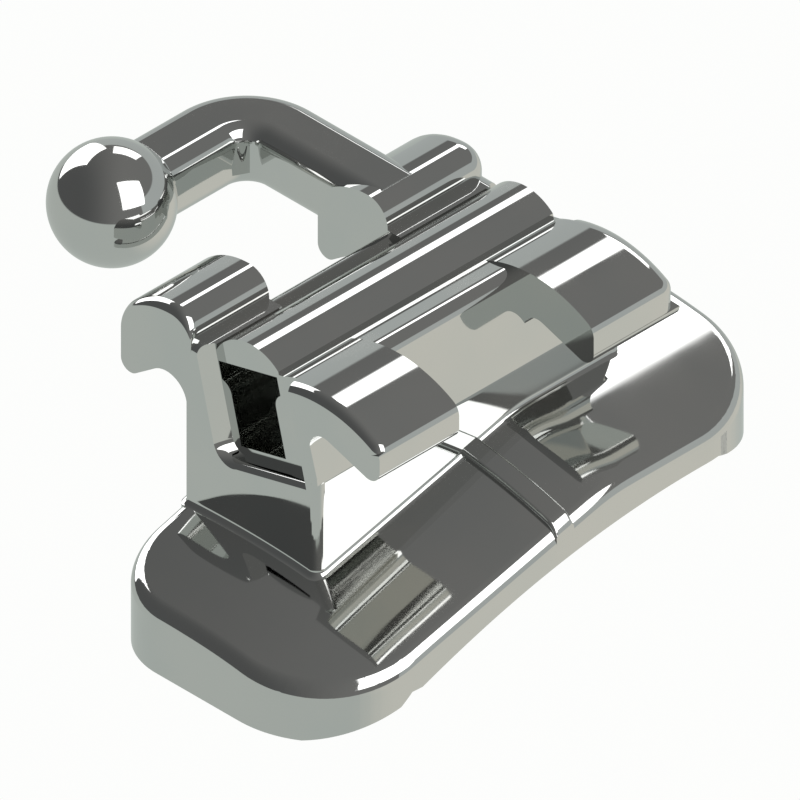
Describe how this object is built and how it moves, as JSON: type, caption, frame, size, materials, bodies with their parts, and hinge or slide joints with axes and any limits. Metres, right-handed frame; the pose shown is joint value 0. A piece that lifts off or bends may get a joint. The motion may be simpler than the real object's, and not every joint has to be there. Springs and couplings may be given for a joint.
{
  "type": "orthodontic buccal tube",
  "caption": "One-piece molar buccal tube with a capped torqued slot, tie wings, a ball hook and a curved bonding pad.",
  "frame": {"origin": "on the resting plane of the bonding pad's lips, under the middle of the pad", "axes": "+X distal along the slot's side view, +Y towards the ball hook (gingival), +Z away from the tooth (buccal)"},
  "size_m": [0.0059, 0.0053, 0.0029],
  "materials": {
    "polished_steel": "mirror-polished stainless steel"
  },
  "bodies": {
    "root": {"buccal_tube": "polished_steel"}
  },
  "joints": []
}
